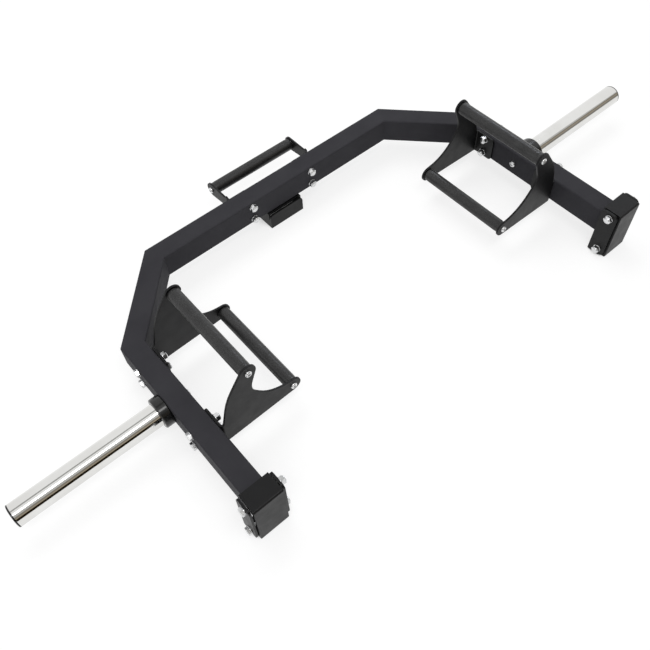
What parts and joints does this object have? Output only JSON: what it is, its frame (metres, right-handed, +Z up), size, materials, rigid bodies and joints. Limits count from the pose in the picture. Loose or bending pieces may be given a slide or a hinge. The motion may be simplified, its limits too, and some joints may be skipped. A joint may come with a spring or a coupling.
{
  "type": "open-ended trap bar",
  "caption": "Open-ended trap bar: box-tube frame open in front, loading sleeves at both sides, handles at two heights and behind, folded box feet.",
  "frame": {"origin": "on the floor under the middle of the bar's outline in plan", "axes": "+X along the sleeves to the user's right, +Y from the open end to the back beam, +Z up"},
  "size_m": [1.7636, 0.757, 0.243],
  "materials": {
    "frame_coat": "fine matt black powder coat",
    "plate_coat": "fine matt black powder coat on folded plate",
    "knurled_grip": "black coated knurled steel",
    "chrome_sleeve": "polished hard chrome",
    "zinc_hardware": "bright zinc plate",
    "black_polymer": "moulded black with a soft shine",
    "turned_steel": "turned steel",
    "bush_bronze": "sintered bronze"
  },
  "bodies": {
    "frame": {"back_beam": "frame_coat", "left_diagonal": "frame_coat", "left_arm": "frame_coat", "right_diagonal": "frame_coat", "right_arm": "frame_coat", "left_front_handle_plate": "plate_coat", "left_front_plate_upper_bolt": "zinc_hardware", "left_front_plate_lower_bolt": "zinc_hardware", "left_rear_handle_plate": "plate_coat", "left_rear_plate_upper_bolt": "zinc_hardware", "left_rear_plate_lower_bolt": "zinc_hardware", "left_upper_grip": "knurled_grip", "left_upper_grip_front_bolt": "zinc_hardware", "left_upper_grip_rear_bolt": "zinc_hardware", "left_lower_grip": "knurled_grip", "left_lower_grip_front_bolt": "zinc_hardware", "left_lower_grip_rear_bolt": "zinc_hardware", "right_front_handle_plate": "plate_coat", "right_front_plate_upper_bolt": "zinc_hardware", "right_front_plate_lower_bolt": "zinc_hardware", "right_rear_handle_plate": "plate_coat", "right_rear_plate_upper_bolt": "zinc_hardware", "right_rear_plate_lower_bolt": "zinc_hardware", "right_upper_grip": "knurled_grip", "right_upper_grip_front_bolt": "zinc_hardware", "right_upper_grip_rear_bolt": "zinc_hardware", "right_lower_grip": "knurled_grip", "right_lower_grip_front_bolt": "zinc_hardware", "right_lower_grip_rear_bolt": "zinc_hardware", "back_handle_left_plate": "plate_coat", "back_grip_left_bolt": "zinc_hardware", "back_beam_left_upper_stud": "zinc_hardware", "back_beam_left_lower_stud": "zinc_hardware", "back_handle_right_plate": "plate_coat", "back_grip_right_bolt": "zinc_hardware", "back_beam_right_upper_stud": "zinc_hardware", "back_beam_right_lower_stud": "zinc_hardware", "back_grip": "knurled_grip", "left_front_foot": "plate_coat", "left_front_foot_upper_bolt": "zinc_hardware", "left_front_foot_lower_bolt": "zinc_hardware", "right_front_foot": "plate_coat", "right_front_foot_upper_bolt": "zinc_hardware", "right_front_foot_lower_bolt": "zinc_hardware", "back_foot": "plate_coat", "left_axle": "turned_steel", "left_axle_bolt": "zinc_hardware", "right_axle": "turned_steel", "right_axle_bolt": "zinc_hardware"},
    "left_sleeve_unit": {"left_collar": "black_polymer", "left_sleeve": "chrome_sleeve", "left_end_cap": "black_polymer", "left_inner_bush": "bush_bronze", "left_outer_bush": "bush_bronze"},
    "right_sleeve_unit": {"right_collar": "black_polymer", "right_sleeve": "chrome_sleeve", "right_end_cap": "black_polymer", "right_inner_bush": "bush_bronze", "right_outer_bush": "bush_bronze"}
  },
  "joints": [
    {"name": "left_sleeve_spin", "type": "hinge", "parent": "frame", "child": "left_sleeve_unit", "pos_m": [-0.7, -0.0675, 0.078], "axis": [1, 0, 0], "continuous": true},
    {"name": "right_sleeve_spin", "type": "hinge", "parent": "frame", "child": "right_sleeve_unit", "pos_m": [0.7, -0.0675, 0.078], "axis": [1, 0, 0], "continuous": true}
  ]
}
